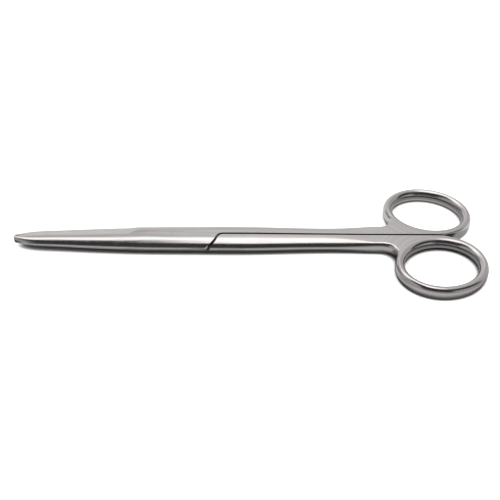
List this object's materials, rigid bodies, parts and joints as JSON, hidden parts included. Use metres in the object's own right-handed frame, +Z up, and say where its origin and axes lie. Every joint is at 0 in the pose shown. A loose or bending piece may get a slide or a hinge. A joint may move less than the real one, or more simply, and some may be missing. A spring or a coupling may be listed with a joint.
{
  "type": "dissecting scissors",
  "caption": "Straight blunt-tipped dissecting scissors: bevelled blades, lap joint on a slotted pivot screw, oval finger rings; opens about the pivot to cut tissue.",
  "frame": {"origin": "centre of the bounding box, on the plane of the lap joint's underside, on which the closed scissors lie", "axes": "+X from the blade tips to the finger rings, +Y to the side of the upper half's finger ring, +Z up, along the pivot axis"},
  "size_m": [0.17, 0.0618, 0.0054],
  "materials": {
    "satin_steel": "satin brushed stainless steel",
    "screw_steel": "turned and ground stainless steel"
  },
  "bodies": {
    "lower": {"lower_half": "satin_steel"},
    "upper": {"upper_half": "satin_steel", "pivot_screw": "screw_steel"}
  },
  "joints": [
    {"name": "pivot", "type": "hinge", "parent": "lower", "child": "upper", "pos_m": [-0.0172, 0, 0.00271], "axis": [0, 0, 1], "range_deg": [0, 60]}
  ]
}
